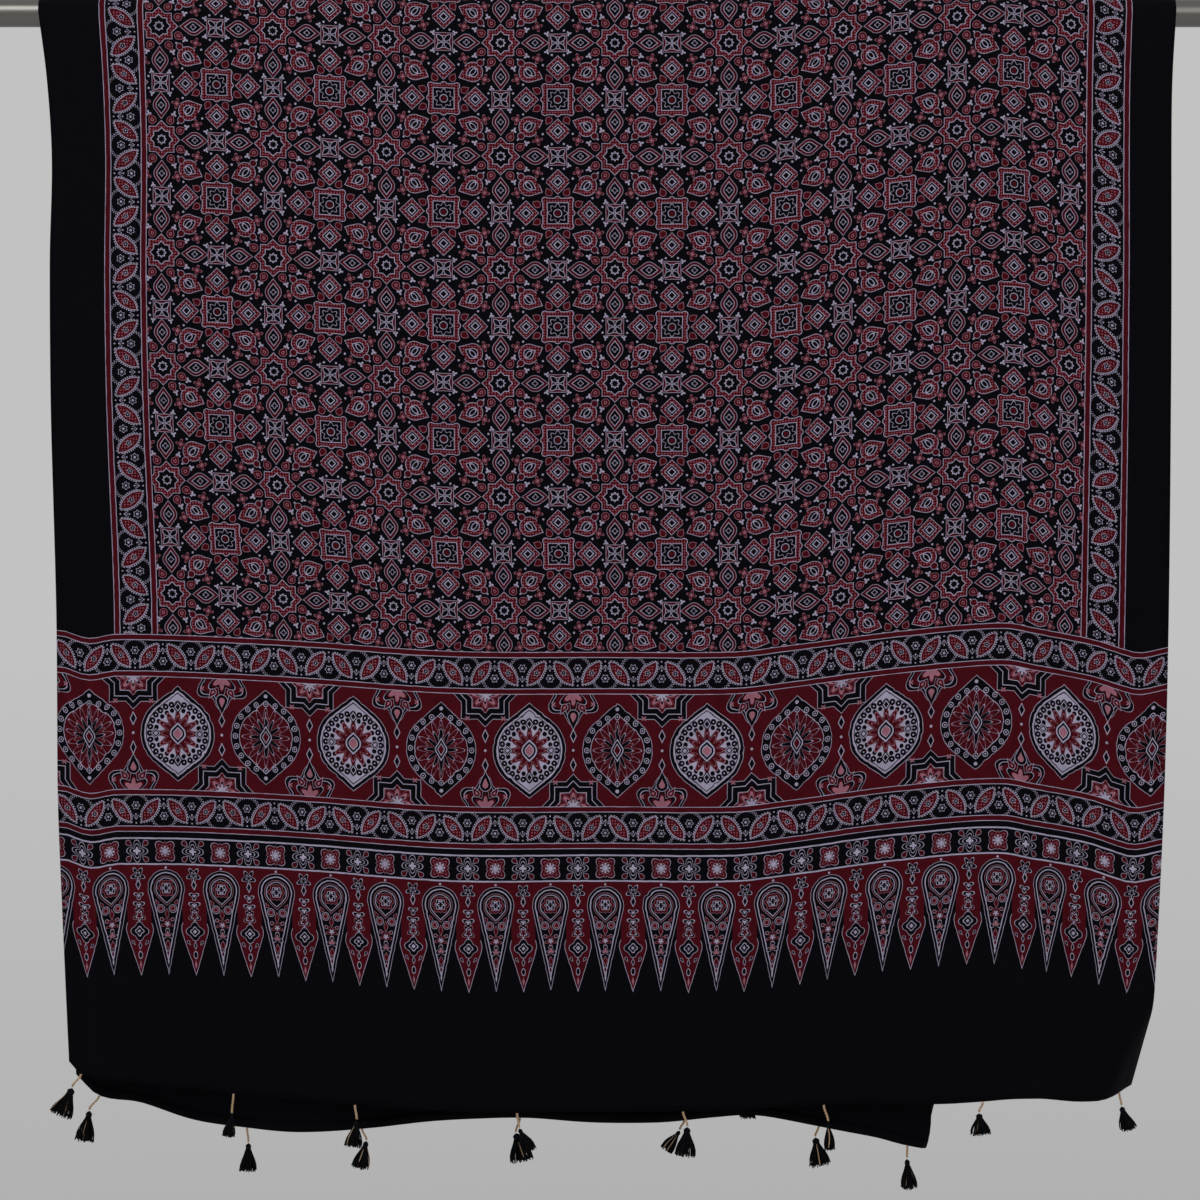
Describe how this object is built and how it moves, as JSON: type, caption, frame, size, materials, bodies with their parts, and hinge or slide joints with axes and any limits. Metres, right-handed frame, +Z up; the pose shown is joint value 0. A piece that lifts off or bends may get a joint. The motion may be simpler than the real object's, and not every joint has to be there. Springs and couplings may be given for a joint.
{
  "type": "block-printed ajrakh cloth on a hanging rod",
  "caption": "Wide black and madder block-printed cloth folded over a plain steel rod, hanging in two drops with small tassels along both hems.",
  "frame": {"origin": "on the rod's axis, midway along the rod", "axes": "+X along the rod, to the right for someone facing the front drop; +Z up; the front drop hangs on the -Y side"},
  "size_m": [1.34, 0.0823, 1.1955],
  "materials": {
    "printed_cloth": "matte, fine plain weave, resist and madder print",
    "steel_rod": "satin",
    "black_yarn": "matte yarn",
    "beige_yarn": "matte twisted yarn"
  },
  "bodies": {
    "root": {"cloth": "printed_cloth", "rod": "steel_rod", "cord_front_1": "beige_yarn", "cord_front_2": "beige_yarn", "cord_front_3": "beige_yarn", "cord_front_4": "beige_yarn", "cord_front_5": "beige_yarn", "cord_front_6": "beige_yarn", "cord_front_7": "beige_yarn", "cord_front_8": "beige_yarn", "cord_back_1": "beige_yarn", "cord_back_2": "beige_yarn", "cord_back_3": "beige_yarn", "cord_back_4": "beige_yarn", "cord_back_5": "beige_yarn", "cord_back_6": "beige_yarn", "cord_back_7": "beige_yarn", "cord_back_8": "beige_yarn", "tassel_front_1": "black_yarn", "tassel_front_2": "black_yarn", "tassel_front_3": "black_yarn", "tassel_front_4": "black_yarn", "tassel_front_5": "black_yarn", "tassel_front_6": "black_yarn", "tassel_front_7": "black_yarn", "tassel_front_8": "black_yarn", "tassel_back_1": "black_yarn", "tassel_back_2": "black_yarn", "tassel_back_3": "black_yarn", "tassel_back_4": "black_yarn", "tassel_back_5": "black_yarn", "tassel_back_6": "black_yarn", "tassel_back_7": "black_yarn", "tassel_back_8": "black_yarn"}
  },
  "joints": []
}
